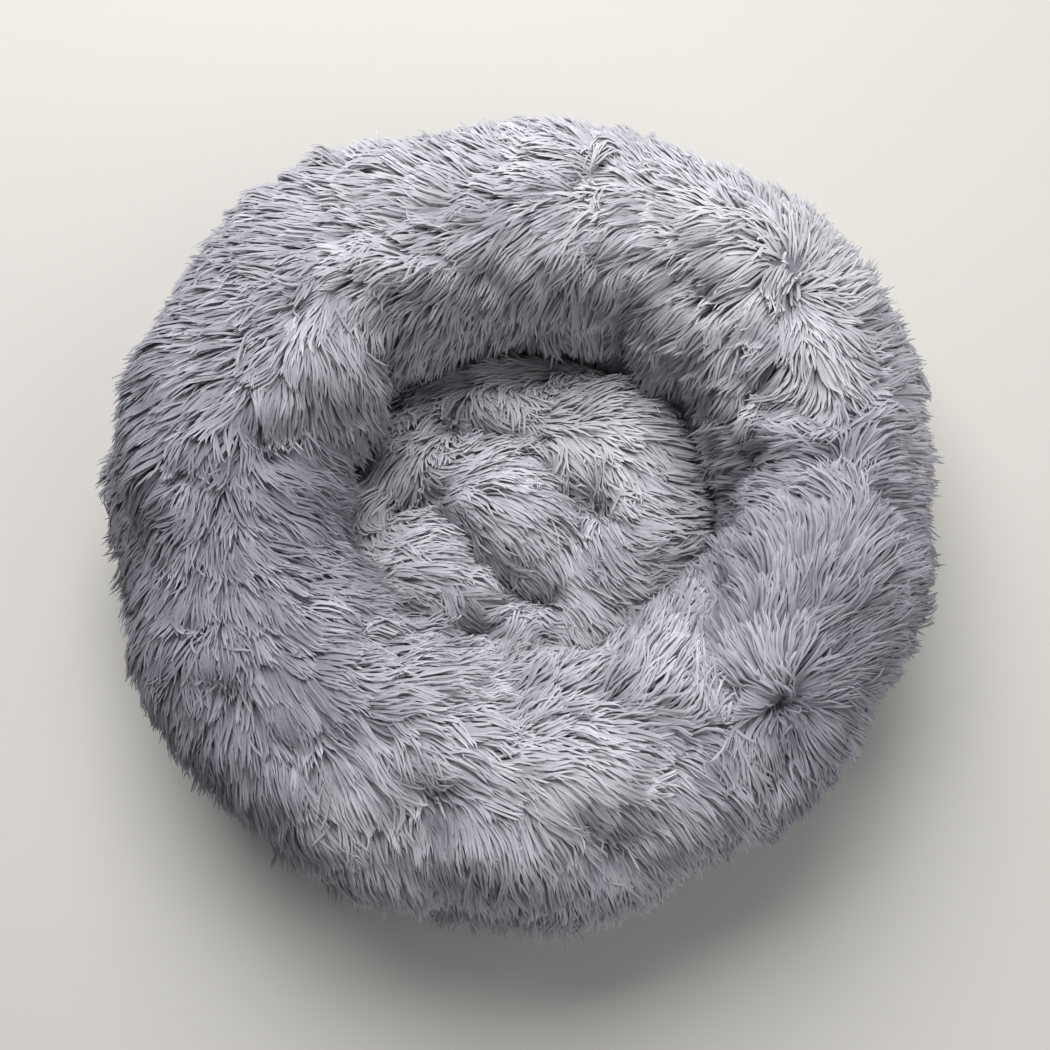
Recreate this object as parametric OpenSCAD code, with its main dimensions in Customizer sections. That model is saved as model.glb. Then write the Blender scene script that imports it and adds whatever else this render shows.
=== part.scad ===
// Round pet bed: a stuffed ring bolster in long-pile plush round a sunken pad,
// on a base cloth with grip dots, with a zip round the rear of the base.
// Origin: centre of the resting face. +Z is up, +Y is the rear, where the zip is.

/* [Bolster] */
// Diameter over the pile of the bolster
bed_d = 600; // [560:5:660]
// Height over the pile of the bolster
bed_h = 190; // [180:1:200]
// Half of the bolster's width, pile included
bolster_a = 83; // [80:1:86]
// Depth of the plush, from the pile tips to the backing
plush_t = 22; // [18:1:24]
// Distance of the base edge inside the widest pile
skirt_inset = 36; // [34:1:38]

/* [Nest] */
// Height of the middle of the pad, pile included
pad_top = 92; // [84:1:96]
// Rise of the pad from its edge to its middle
pad_crown = 32; // [24:1:36]
// Depth of the plush on the pad
pad_plush_t = 18; // [14:1:22]

/* [Base] */
// Thickness of the base cloth
cloth_t = 1; // [0.6:0.1:1.5]
// Height of a grip dot
dot_h = 1.5; // [1:0.1:2]
// Diameter of a grip dot
dot_d = 6; // [3:0.5:8]
// Distance between neighbouring grip dots
dot_pitch = 60; // [40:1:80]

/* [Zip] */
// Half of the angle that the zip covers round the rear
zip_half = 54; // [40:1:56]
// Width of one zip tape, from its sewn edge to the coil
tape_w = 14.5; // [11:0.5:15]
// Length of the slider
slider_l = 12; // [10:0.5:14]
// Length of the pull tab from its pin
pull_l = 24; // [18:1:28]

/* [Hidden] */
$fn = 96;

// Bolster: a round tube on a skirt with upright walls
ring_r = bed_d / 2 - bolster_a;
ring_z = bed_h - bolster_a;
wall_r = bed_d / 2 - skirt_inset;
inner_r = ring_r - 65;
floor_z = dot_h + cloth_t;
skirt_t = 18;

// Layers under the plush, counted inwards from its backing
seam_gap = 0.2;
seam_t = 1;
bag_gap = 1.5;
bag_t = 1.2;
fill_gap = 3;

// Nest
pad_r = inner_r - 6;
dome_r = (pad_r * pad_r + pad_crown * pad_crown) / (2 * pad_crown);
divider_h = 52.5;
divider_t = 1.5;
seam_tape_h = 2;

// Base edge and label
binding_t = 1.5;
binding_h = 7.5;
label_t = 0.6;
label_h = 26;
label_w = 28;
label_az = 158;

// Zip: section sizes are radial by upright
zip_r = wall_r - 0.9;
tape_t = 0.8;
coil_w = 2.2;
coil_t = 2.4;
coil_space = 1;
zip_h = 2 * tape_w + 2 * coil_w + coil_space;
zip_mid_z = floor_z + zip_h / 2;
notch_depth = 7;
notch_margin = 3;
tape_margin = 1.5;
stop_gap = 0.1;
stop_arc = 0.6;

// Slider: two plates with lips, a wedge between them and two ears for the pin
slider_az = 90 - zip_half + 2;
plate_gap = 1.6;
plate_t = 1.2;
slider_w = 8.9;
lip_w = 0.9;
lip_gap = 0.9;
wedge_w = 0.6;
wedge_l = 3;
pin_r = 0.75;
pin_at = zip_r + 4.2;
ear_r = 1.5;
ear_h = 1.1;
ear_space = 2.2;

// Pull tab
eye_r = 1.4;
eye_h = 2;
bore_r = 0.8;
pull_t = 1.2;
pull_w = 6;
neck_l = 4;
grip_hole_r = 1.6;

// Angle of an arc of the given length at a radius
function arc_deg(length, r) = length / r * 180 / PI;

// Section of a ring: span_r and span_z are [low, high]
module ring_box(span_r, span_z, from_deg = 0, sweep_deg = 360) {
    rotate([0, 0, from_deg])
        rotate_extrude(angle = sweep_deg)
            translate([span_r[0], span_z[0]])
                square([span_r[1] - span_r[0], span_z[1] - span_z[0]]);
}

// Outline of the bolster over its pile
module bolster_outline() {
    translate([ring_r, ring_z])
        circle(r = bolster_a);
    translate([inner_r, floor_z])
        square([wall_r - inner_r, ring_z - floor_z]);
}

// Outline of the hollow in the bolster, set in by a number of millimetres
module core_outline(inset) {
    translate([ring_r, ring_z])
        circle(r = bolster_a - plush_t - inset);
    translate([inner_r + inset, floor_z + inset])
        square([wall_r - skirt_t - inner_r - 2 * inset, ring_z - floor_z - 2 * inset]);
}

// Plush shell of the bolster, open towards the base and the divider
module plush_outline() {
    difference() {
        bolster_outline();
        core_outline(0);
    }
}

module plush_half(from_deg) {
    rotate([0, 0, from_deg])
        rotate_extrude(angle = 180)
            plush_outline();
}

// Region under a dome, lowered by drop and cut at radius r and height z0
module pad_outline(drop, r, z0) {
    intersection() {
        translate([0, pad_top - dome_r - drop])
            circle(r = dome_r, $fn = 360);
        translate([0, z0])
            square([r, pad_top]);
    }
}

module bolster_plush_front() {
    color("#a9a9b3")
        plush_half(180);
}

module bolster_plush_rear() {
    half = zip_half + notch_margin;
    color("#a2a2ad")
        difference() {
            plush_half(0);
            ring_box([wall_r - notch_depth, wall_r + 1], [floor_z - 1, floor_z + zip_h], 90 - half, 2 * half);
        }
}

module centre_plush() {
    color("#b4b4be")
        rotate_extrude()
            difference() {
                pad_outline(0, pad_r, 0);
                pad_outline(pad_plush_t, pad_r + 1, -1);
            }
}

module divider_wall() {
    outside = inner_r - 1;
    color("#d8d8d8")
        ring_box([outside - divider_t, outside], [floor_z, floor_z + divider_h]);
}

module inner_seam_tape() {
    top = floor_z + divider_h;
    color("#8c8c94")
        ring_box([inner_r - 5, inner_r - 1.5], [top, top + seam_tape_h]);
}

module bolster_bag() {
    color("#eeeeee")
        rotate_extrude()
            difference() {
                core_outline(bag_gap);
                core_outline(bag_gap + bag_t);
            }
}

module bolster_filling() {
    color("#fbfbfb")
        rotate_extrude()
            core_outline(fill_gap);
}

module panel_seams() {
    half = arc_deg(9, ring_r);
    color("#8c8c94")
        for (side = [0, 180])
            rotate([0, 0, side - half])
                rotate_extrude(angle = 2 * half)
                    difference() {
                        core_outline(seam_gap);
                        core_outline(seam_gap + seam_t);
                        translate([inner_r, floor_z - 1])
                            square([wall_r - inner_r, 1 + bag_gap]);
                    }
}

module pad_bag() {
    color("#eeeeee")
        rotate_extrude()
            difference() {
                pad_outline(pad_plush_t + 0.5, pad_r + bag_gap, floor_z + 0.5);
                pad_outline(pad_plush_t + 0.5 + bag_t, pad_r + bag_gap - bag_t, floor_z + 0.5 + bag_t);
            }
}

module pad_filling() {
    color("#fbfbfb")
        rotate_extrude()
            pad_outline(pad_plush_t + 1 + bag_t, pad_r + bag_gap - bag_t - 0.5, floor_z + 1 + bag_t);
}

module base_cloth() {
    color("#55575c")
        translate([0, 0, dot_h])
            cylinder(r = wall_r, h = cloth_t);
}

// Dots in staggered rows, one of them in the middle
module grip_dots() {
    row_step = dot_pitch * sqrt(3) / 2;
    reach = wall_r - 12;
    rows = floor(reach / row_step);
    columns = ceil(reach / dot_pitch);
    color("#2b2c2f")
        for (row = [-rows : rows])
            for (column = [-columns : columns]) {
                x = (column + (row % 2) / 2) * dot_pitch;
                y = row * row_step;
                if (norm([x, y]) < reach)
                    translate([x, y, 0])
                        cylinder(d = dot_d, h = dot_h, $fn = 24);
            }
}

module base_binding() {
    color("#6e7078")
        ring_box([wall_r, wall_r + binding_t], [dot_h, dot_h + binding_h]);
}

module zip_arc(span_r, span_z, half_deg) {
    ring_box(span_r, span_z, 90 - half_deg, 2 * half_deg);
}

module zip_tape_lower() {
    color("#8f9099")
        zip_arc([zip_r - tape_t / 2, zip_r + tape_t / 2], [floor_z, floor_z + tape_w], zip_half + tape_margin);
}

module zip_tape_upper() {
    top = floor_z + zip_h;
    color("#8f9099")
        zip_arc([zip_r - tape_t / 2, zip_r + tape_t / 2], [top - tape_w, top], zip_half + tape_margin);
}

module zip_coil_lower() {
    low = floor_z + tape_w;
    color("#7b7c85")
        zip_arc([zip_r - coil_t / 2, zip_r + coil_t / 2], [low, low + coil_w], zip_half);
}

module zip_coil_upper() {
    high = floor_z + zip_h - tape_w;
    color("#7b7c85")
        zip_arc([zip_r - coil_t / 2, zip_r + coil_t / 2], [high - coil_w, high], zip_half);
}

module zip_stops() {
    half_h = coil_w + coil_space / 2;
    span_r = [zip_r - coil_t / 2, zip_r + coil_t / 2];
    span_z = [zip_mid_z - half_h, zip_mid_z + half_h];
    color("#9a9ca3") {
        ring_box(span_r, span_z, 90 + zip_half + stop_gap, stop_arc);
        ring_box(span_r, span_z, 90 - zip_half - stop_gap - stop_arc, stop_arc);
    }
}

// One plate of the slider with a lip along each edge; side is 1 outside and -1 inside
module slider_plate(side) {
    arc = arc_deg(slider_l, zip_r);
    near = zip_r + side * plate_gap;
    far = zip_r + side * (plate_gap + plate_t);
    lip = zip_r + side * lip_gap;
    low = zip_mid_z - slider_w / 2;
    high = zip_mid_z + slider_w / 2;
    ring_box([min(near, far), max(near, far)], [low, high], slider_az - arc / 2, arc);
    for (z = [low, high - lip_w])
        ring_box([min(near, lip), max(near, lip)], [z, z + lip_w], slider_az - arc / 2, arc);
}

module slider_ear(low) {
    plate_face = zip_r + plate_gap + plate_t / 2;
    translate([pin_at, 0, low])
        cylinder(r = ear_r, h = ear_h);
    translate([plate_face, -ear_r, low])
        cube([pin_at - plate_face, 2 * ear_r, ear_h]);
}

module zip_slider() {
    wedge_arc = arc_deg(wedge_l, zip_r);
    start = slider_az - arc_deg(slider_l, zip_r) / 2;
    color("#b9bbc0") {
        union() {
            slider_plate(1);
            slider_plate(-1);
            ring_box([zip_r - plate_gap - 0.1, zip_r + plate_gap + 0.1],
                     [zip_mid_z - wedge_w / 2, zip_mid_z + wedge_w / 2], start, wedge_arc);
            rotate([0, 0, slider_az]) {
                slider_ear(zip_mid_z + ear_space / 2);
                slider_ear(zip_mid_z - ear_space / 2 - ear_h);
                translate([pin_at, 0, zip_mid_z - ear_space / 2 - ear_h / 2])
                    cylinder(r = pin_r, h = ear_space + ear_h);
            }
        }
    }
}

// The tab lies along the zip at rest, pointing towards the middle of the rear
module zip_pull() {
    color("#b9bbc0")
        rotate([0, 0, slider_az])
            translate([pin_at, 0, zip_mid_z])
                difference() {
                    union() {
                        translate([0, 0, -eye_h / 2])
                            cylinder(r = eye_r, h = eye_h);
                        translate([-pull_t / 2, 0, -eye_h / 2])
                            cube([pull_t, neck_l + 1, eye_h]);
                        translate([-pull_t / 2, neck_l, -pull_w / 2])
                            cube([pull_t, pull_l - neck_l - pull_w / 2, pull_w]);
                        translate([-pull_t / 2, pull_l - pull_w / 2, 0])
                            rotate([0, 90, 0])
                                cylinder(d = pull_w, h = pull_t);
                    }
                    translate([0, 0, -eye_h])
                        cylinder(r = bore_r, h = 2 * eye_h);
                    translate([-pull_t, pull_l - pull_w / 2, 0])
                        rotate([0, 90, 0])
                            cylinder(r = grip_hole_r, h = 2 * pull_t);
                }
}

module care_label() {
    arc = arc_deg(label_w, wall_r);
    face = wall_r + binding_t;
    color("#f2f2ee")
        ring_box([face, face + label_t], [dot_h + 2.5, dot_h + 2.5 + label_h], label_az - arc / 2, arc);
}

bolster_plush_front();
bolster_plush_rear();
centre_plush();
divider_wall();
bolster_bag();
bolster_filling();
pad_bag();
pad_filling();
base_cloth();
grip_dots();
inner_seam_tape();
base_binding();
panel_seams();
zip_tape_upper();
zip_tape_lower();
zip_coil_upper();
zip_coil_lower();
zip_stops();
zip_slider();
zip_pull();
care_label();
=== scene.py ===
"""Looks of a round plush pet bed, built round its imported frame.

Lengths are in metres and angles in degrees. Round the bed, an azimuth runs from +X towards +Y, the rear.
Over the bolster, a lean of 0 is the crest, -90 the widest point towards the nest and 90 the widest point
outside.
"""

import math

import bpy
import numpy as np
from bpy.props import FloatProperty, FloatVectorProperty, IntProperty, PointerProperty
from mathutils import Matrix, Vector
from mathutils.kdtree import KDTree


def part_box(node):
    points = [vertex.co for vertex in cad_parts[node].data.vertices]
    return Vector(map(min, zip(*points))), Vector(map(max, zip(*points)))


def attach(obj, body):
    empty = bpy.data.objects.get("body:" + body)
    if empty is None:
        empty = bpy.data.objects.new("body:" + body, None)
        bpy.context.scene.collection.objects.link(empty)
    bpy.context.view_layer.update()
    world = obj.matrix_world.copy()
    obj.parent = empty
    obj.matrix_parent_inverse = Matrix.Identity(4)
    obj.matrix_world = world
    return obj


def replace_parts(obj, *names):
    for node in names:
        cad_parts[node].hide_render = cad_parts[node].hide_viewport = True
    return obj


bl_info = {
    "name": "Plush Pet Bed",
    "version": (1, 0, 0),
    "blender": (4, 5, 0),
    "location": "3D View > Sidebar > Pet Bed",
    "description": "Builds a round long-pile pet bed, its zip, base and stage",
    "category": "Object",
}

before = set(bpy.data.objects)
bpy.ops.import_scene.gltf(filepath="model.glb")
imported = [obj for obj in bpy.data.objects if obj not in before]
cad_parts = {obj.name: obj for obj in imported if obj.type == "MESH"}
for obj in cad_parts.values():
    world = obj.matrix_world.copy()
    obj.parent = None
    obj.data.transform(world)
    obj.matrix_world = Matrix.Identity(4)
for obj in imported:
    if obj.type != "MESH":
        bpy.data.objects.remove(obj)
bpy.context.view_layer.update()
MM = 0.001

# Extra reach of the bolster outwards, in metres: (azimuth, spread, rise)
OUTER_BULGES = [
    (42, 15, 0.014), (130, 13, 0.012), (106, 10, -0.008), (88, 14, 0.006), (171, 8, 0.004),
    (190, 12, -0.007), (225, 20, -0.004), (325, 24, -0.009), (298, 10, -0.007), (268, 16, -0.003),
]
# Extra reach of the bolster into the nest, in the same way
INNER_BULGES = [
    (98, 32, 0.009), (270, 34, 0.026), (228, 20, 0.016), (185, 26, 0.012), (316, 18, 0.010),
    (145, 12, 0.010), (24, 22, -0.012),
]
# Rise of the crest, in the same way
CREST_BULGES = [
    (45, 20, 0.006), (90, 22, 0.002), (150, 18, 0.005), (195, 14, -0.007), (240, 24, 0.003),
    (305, 16, -0.006), (340, 14, 0.004), (8, 10, -0.006),
]
# Hollows pressed into the bolster: (azimuth, lean, radius, depth); a negative depth is a lump. A hollow also
# darkens the pile's tone there, as painted shade
HOLLOWS = [
    (171, -32, 0.016, 0.017), (188, 55, 0.030, 0.012), (180, 15, 0.014, 0.008), (207, 28, 0.012, 0.008),
    (217, 33, 0.018, 0.008), (46, -33, 0.014, 0.012), (60, -74, 0.024, 0.016), (134, -84, 0.020, 0.016),
    (22, -50, 0.014, 0.012), (8, -62, 0.018, 0.016), (352, -72, 0.018, 0.013), (3, -8, 0.012, 0.010),
    (33, -6, 0.012, 0.007), (318, 26, 0.010, 0.008), (315, 1, 0.011, 0.010), (270, -40, 0.010, 0.009),
    (270, -22, 0.010, 0.010), (280, 27, 0.012, 0.010), (285, 42, 0.014, 0.008), (256, 14, 0.016, 0.008),
    (78, 6, 0.013, 0.010), (225, -38, 0.008, 0.006), (143, -10, 0.012, 0.006), (330, -55, 0.016, 0.010),
    (302, -66, 0.016, 0.010), (120, -50, 0.012, 0.006), (98, -48, 0.014, 0.005), (72, -38, 0.012, 0.006),
    (162, 40, 0.030, -0.009), (30, 40, 0.030, -0.007), (240, -30, 0.034, -0.008),
    (300, -40, 0.030, -0.006), (345, 30, 0.034, -0.006), (150, -45, 0.026, -0.008),
    (262, 32, 0.024, -0.006), (110, 20, 0.034, -0.005),
]
# Painted light and painted shade: the pile's tone is darker or paler round the bolster where less or more
# light falls: (azimuth, spread, change of tone)
PAINTED_LIGHT_AND_SHADE = [
    (186, 28, -0.46), (228, 20, -0.12), (42, 28, 0.34), (112, 14, 0.08), (255, 24, 0.10),
    (346, 24, -0.36),
]
# Way the pile of the bolster is combed, seen from above, for each of these leans at each azimuth
COMB_LEANS = (-70, -35, 0, 35, 70)
BOLSTER_COMB = {
    0: (155, 170, 120, 10, 5),
    15: (190, 165, 290, 25, 20),
    30: (235, 230, 300, 50, 45),
    45: (230, 210, 200, 78, 70),
    60: (235, 207, 160, 130, 110),
    75: (275, 245, 187, 150, 110),
    90: (255, 228, 180, 155, 110),
    105: (240, 207, 175, 145, 125),
    120: (247, 200, 182, 165, 145),
    135: (310, 250, 212, 172, 160),
    150: (305, 283, 203, 185, 180),
    165: (350, 273, 225, 210, 200),
    180: (350, 330, 242, 217, 205),
    195: (330, 335, 280, 245, 225),
    210: (340, 343, 302, 265, 250),
    225: (345, 353, 308, 288, 265),
    240: (345, 8, 320, 302, 280),
    255: (10, 17, 328, 285, 275),
    270: (40, 30, 335, 280, 270),
    285: (20, 355, 328, 315, 285),
    300: (60, 48, 347, 315, 300),
    315: (70, 75, 150, 270, 310),
    330: (105, 112, 77, 40, 345),
    345: (128, 128, 70, 35, 0),
}
# Spots that the pile parts from all round: (azimuth, lean, radius, strength)
BOLSTER_PARTINGS = [(319, 26, 0.026, 0.4), (2, 6, 0.030, 0.6)]
# Way the pile of the pad is combed, seen from above: (x, y, direction), in millimetres
PAD_COMB = [
    (-90, 120, 240), (-60, 120, 200), (-30, 120, 195), (0, 120, 192), (30, 120, 215), (60, 120, 215),
    (90, 120, 215), (-120, 90, 240), (-90, 90, 250), (-60, 90, 240), (-30, 90, 330), (0, 90, 330),
    (30, 90, 5), (60, 90, 15), (90, 90, 5), (120, 90, 0), (-120, 60, 230), (-90, 60, 240),
    (-60, 60, 230), (-30, 56, 15), (0, 66, 322), (30, 60, 312), (60, 60, 322), (90, 60, 345),
    (120, 60, 352), (-120, 30, 235), (-90, 30, 235), (-55, 36, 20), (-30, 30, 12), (0, 32, 352),
    (30, 30, 300), (60, 30, 300), (90, 30, 325), (120, 30, 355), (-60, 14, 312), (-120, 0, 238),
    (-90, 0, 8), (-60, -4, 348), (-30, 0, 311), (0, 0, 325), (30, 0, 322), (60, 0, 285), (90, 0, 0),
    (120, 0, 18), (-120, -30, 350), (-90, -30, 3), (-60, -30, 355), (-30, -30, 306), (0, -30, 303),
    (30, -30, 315), (60, -28, 275), (90, -35, 2), (120, -30, 15), (-90, -60, 340), (-60, -60, 335),
    (-30, -60, 336), (0, -60, 20), (30, -60, 297), (60, -60, 325), (90, -60, 80), (-120, -60, 345),
    (-60, -80, 325), (-30, -90, 40), (0, -90, 60), (30, -82, 290), (60, -82, 310), (90, -90, 70),
    (0, -120, 90), (-60, -120, 20), (60, -120, 90),
]
# Spots that it parts from: (x, y, radius) in millimetres, and a strength
PAD_PARTINGS = [(-70, 26, 22, 0.5), (32, 76, 22, 0.5)]
# Folds between the lobes of the pad, from and to: (x, y) in millimetres
PAD_FOLDS = [
    ((-52, 82), (12, 58)), ((22, 32), (33, 12)), ((33, 12), (43, -12)), ((55, 20), (62, 4)),
    ((-86, 14), (-62, 20)), ((-66, 7), (-42, -8)), ((-40, -12), (-30, -33)), ((-30, -33), (-5, -45)),
    ((-12, -57), (22, -58)), ((-58, -87), (-30, -80)), ((-78, -78), (-70, -80)),
]
# Lobes of the pad: (x, y, radius, rise) in millimetres
PAD_LOBES = [
    (90, 62, 44, 19), (-4, 6, 32, 12), (-58, -36, 32, 10), (106, -8, 34, 15), (-84, 52, 36, 5),
    (12, -92, 30, -9), (46, 10, 16, -9), (-22, 66, 16, -8), (10, 140, 44, -14), (-70, 118, 36, -12),
    (-125, 70, 34, -8), (10, -52, 20, -7),
]
# Height of the middle of the pad over its rim
PAD_RISE = 0.030
# Radius from which the pad goes down under the bolster, and the way that it takes
RIM_R = 0.134
RIM_FALL = 0.014
# Depth of the pad's folds, and half their width
FOLD_DEPTH = 0.019
FOLD_REACH = 0.011

# Places of the rings along a lock, its width there as a share, and its three corners
STEPS = np.array([0.0, 0.2, 0.45, 0.7, 0.9, 1.0])
TAPER = np.array([0.6, 0.95, 1.0, 0.92, 0.6, 0.0])
CORNERS = np.radians([90, 210, 330])
RINGS = len(STEPS)
# Thickness of a lock as a share of its width
LOCK_FLATNESS = 0.65
# Locks in a tuft, and in one mesh
TUFT_LOCKS = 16
PIECE_LOCKS = 7000
# Turn of a tuft and of a lock against the comb, and their curl along the way, in radians
TUFT_TURN, TUFT_CURL = 0.26, 0.50
LOCK_TURN, LOCK_CURL = 0.12, 0.20
# How much of its tuft's turn and curl a lock takes
TUFT_HOLD = 0.75
# Shares of locks that stray from their tuft, and that stay low and fill the gaps
STRAY_SHARE = 0.05
LOW_SHARE = 0.3
# How far a low lock closes up with its tuft, and how wide it is, against the others
LOW_GATHER = 0.3
LOW_WIDTH = 1.35
# Lean of a stiff lock off the backing, and how far its tip droops as a share of its length
STIFF_LEAN = (10, 26)
DROOP = 0.20
# Share of the backing's normal in a lock's shading: a real lock is many fine fibres, shaded like the pile
PILE_SHADE = 0.88
# Step of the map from one side of a lock to the next
SIDE_STEP = 0.004
# Lowest height of the middle of a lock over the floor
PILE_FLOOR = 0.0012

# The zip's middle, and its reach to each side
ZIP_REAR = 90
ZIP_REACH = 55.5
# Middle of the care label, and its reach to each side
LABEL_TURN = 158
LABEL_REACH = 3
# Lowest height of the pile over the zip and over the label
ZIP_FRINGE = 0.0265
LABEL_FRINGE = 0.024
# The pile is lifted up to this far over the fringe, and no lock is rooted less than this over it
FRINGE_DEPTH = 0.020
FRINGE_ROOT = 0.014


def hex_color(text):
    """sRGB hex as linear RGBA."""
    values = [int(text[i : i + 2], 16) / 255 for i in (1, 3, 5)]
    return (*[v / 12.92 if v <= 0.04045 else ((v + 0.055) / 1.055) ** 2.4 for v in values], 1.0)


def color_setting(name, text, use):
    """A colour in the panel, with its default as sRGB hex."""
    return FloatVectorProperty(name=name, description=use, size=4, default=hex_color(text),
                               min=0, max=1, subtype="COLOR")


class BED_PG_colours(bpy.types.PropertyGroup):
    """The colours of the bed's cloths and fittings"""

    pile_root: color_setting("Pile root", "#9a999d", "Pile next to the backing")
    pile_low: color_setting("Pile low", "#aaa9ad", "Lower third of the pile")
    pile_high: color_setting("Pile high", "#bdbcc0", "Upper third of the pile")
    pile_tip: color_setting("Pile tip", "#d6d5d9", "Tips of the pile")
    backing: color_setting("Backing", "#707077", "Knit under the pile")
    tape: color_setting("Tapes", "#8c8c94", "Seam tapes, binding and zip tapes")
    base: color_setting("Base", "#5b5c62", "Oxford cloth under the bed")
    dots: color_setting("Grip dots", "#c6c6c8", "PVC dots on the base")
    coil: color_setting("Zip coils", "#77777f", "Nylon coils of the zip")
    metal: color_setting("Zip metal", "#b4b4b6", "Plated slider, pull and stops")
    label: color_setting("Care label", "#e9e8e4", "Satin of the label")
    wall: color_setting("Wall cloth", "#b9b9bd", "Lining wall between the two bags")


class BED_PG_pile(bpy.types.PropertyGroup):
    """The long pile of the plush"""

    length: FloatProperty(name="Lock length", description="Length of a lock of pile", default=0.036,
                          min=0.015, max=0.06, unit="LENGTH")
    width: FloatProperty(name="Lock width", description="Width of a lock at its middle", default=0.0022,
                         min=0.0005, max=0.004, unit="LENGTH")
    depth: FloatProperty(name="Pile depth", description="Height of the laid pile over its backing",
                         default=0.017, min=0.005, max=0.03, unit="LENGTH")
    crimp: FloatProperty(name="Crimp", description="Largest sideways wave of a lock", default=0.0007,
                         min=0.0, max=0.003, unit="LENGTH")
    bolster_locks: IntProperty(name="Bolster locks", description="Number of locks on the bolster",
                               default=97000, min=1000, max=120000)
    pad_locks: IntProperty(name="Pad locks", description="Number of locks on the pad",
                           default=21000, min=500, max=30000)


def add_node(tree, kind, inputs=None, stops=None, **settings):
    """Add a node with its settings. inputs gives each socket a value or an output socket to link from."""
    node = tree.nodes.new(kind)
    for name, value in settings.items():
        setattr(node, name, value)
    for socket, value in (inputs or {}).items():
        if isinstance(value, bpy.types.NodeSocket):
            tree.links.new(value, node.inputs[socket])
        else:
            node.inputs[socket].default_value = value
    if stops:
        ramp = node.color_ramp
        while len(ramp.elements) < len(stops):
            ramp.elements.new(0.5)
        for element, (position, color) in zip(ramp.elements, stops):
            element.position = position
            element.color = hex_color(color) if isinstance(color, str) else color
    return node


def new_material(name, **values):
    """A material with one Principled shader; values set its sockets by name."""
    material = bpy.data.materials.new(name)
    material.use_nodes = True
    shader = material.node_tree.nodes["Principled BSDF"]
    for socket, value in values.items():
        shader.inputs[socket.replace("_", " ")].default_value = value
    return material, material.node_tree, shader


class Sheet:
    """A surface sampled on a grid over u and v from 0 to 1. u may close on itself."""

    def __init__(self, points, closed, hollow=None):
        self.points = points
        # How far each point lies in a hollow or a fold, from 0 to 1; there the pile lies lower and its tone
        # is darkened as painted shade
        self.hollow = np.zeros(points.shape[:2]) if hollow is None else np.clip(hollow, 0, 1)
        self.closed = closed
        hand = -1 if closed else 1
        self.nu, self.nv = points.shape[:2]
        if closed:
            along_u = (np.roll(points, -1, 0) - np.roll(points, 1, 0)) / 2 * self.nu
        else:
            along_u = np.gradient(points, axis=0) * (self.nu - 1)
        along_v = np.gradient(points, axis=1) * (self.nv - 1)
        normal = np.cross(along_u, along_v)
        self.normals = hand * normal / np.linalg.norm(normal, axis=2, keepdims=True)
        self.u_size = np.linalg.norm(along_u, axis=2)
        self.v_size = np.linalg.norm(along_v, axis=2)
        self.u_way = along_u / self.u_size[..., None]
        self.v_way = along_v / self.v_size[..., None]

    def cells(self, u, v):
        """Grid corners round each place, and how far the place is between them."""
        if self.closed:
            fu = (u % 1.0) * self.nu
            low_u = np.floor(fu).astype(int) % self.nu
            high_u = (low_u + 1) % self.nu
        else:
            fu = np.clip(u, 0, 1) * (self.nu - 1)
            low_u = np.minimum(np.floor(fu).astype(int), self.nu - 2)
            high_u = low_u + 1
        fv = np.clip(v, 0, 1) * (self.nv - 1)
        low_v = np.minimum(np.floor(fv).astype(int), self.nv - 2)
        return low_u, high_u, low_v, low_v + 1, fu - np.floor(fu), fv - low_v

    def at(self, values, u, v):
        """Values of the grid at each u and v."""
        u0, u1, v0, v1, a, b = self.cells(u, v)
        if values.ndim == 3:
            a, b = a[..., None], b[..., None]
        low = values[u0, v0] * (1 - a) + values[u1, v0] * a
        high = values[u0, v1] * (1 - a) + values[u1, v1] * a
        return low * (1 - b) + high * b

    def scatter(self, count, rng):
        """Random places spread evenly over the surface."""
        area = (self.u_size * self.v_size)[:, :-1]
        if not self.closed:
            area = area[:-1]
        share = np.cumsum(area.ravel() / area.sum())
        cell = np.searchsorted(share, rng.random(count)).clip(0, area.size - 1)
        i, j = np.divmod(cell, area.shape[1])
        steps_u = self.nu if self.closed else self.nu - 1
        return (i + rng.random(count)) / steps_u, (j + rng.random(count)) / (self.nv - 1)


def bulge(azimuth, bumps):
    """Sum of soft bumps round the bed at each azimuth."""
    total = np.zeros_like(azimuth)
    for spot, spread, rise in bumps:
        away = (azimuth - spot + 180) % 360 - 180
        total += rise * np.exp(-0.5 * (away / spread) ** 2)
    return total


def soft_noise(u, v, most, seed):
    """Smooth noise of about -1 to 1, closed over u. most: turns over u, turns over v, and waves."""
    rng = np.random.default_rng(seed)
    most_u, most_v, waves = most
    total = np.zeros(np.broadcast(u, v).shape)
    for _ in range(waves):
        turns = rng.integers(-most_u, most_u + 1)
        climb = rng.uniform(-most_v, most_v)
        total = total + np.sin(2 * math.pi * (turns * u + climb * v + rng.random()))
    return total / math.sqrt(waves) * 0.8


# Sizes read from the frame
BOLSTER_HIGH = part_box("bolster_plush_front")[1]
OUTER_R = BOLSTER_HIGH.x
CREST_Z = BOLSTER_HIGH.z
BASE_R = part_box("base_cloth")[1].x
FLOOR_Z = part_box("base_cloth")[1].z
SEAM_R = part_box("inner_seam_tape")[1].x
SEAM_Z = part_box("inner_seam_tape")[1].z
PAD_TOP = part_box("centre_plush")[1].z
# Half the width of the bolster over its pile, and what follows from it
TUBE_R = 0.083
MIDDLE_Z = CREST_Z - TUBE_R
NEST_R = OUTER_R - 2 * TUBE_R
# Thickness of the backing, and half the width of the tape over a side seam as a share of a turn
BACKING = 0.003
SEAM_TURN = 0.0066
# Points of the bolster's backing over its section and round the bed
SECTION_STEPS = 160
ROUND_STEPS = 720
# Where over the section the wall to the inner seam ends and the skirt to the base begins, and its lean there
SEAM_END = 0.12
SKIRT_START = 0.86
SKIRT_LEAN = 118
# The backing's hollows are this much deeper than they look through the pile
HOLLOW_SHARE = 1.3


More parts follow.
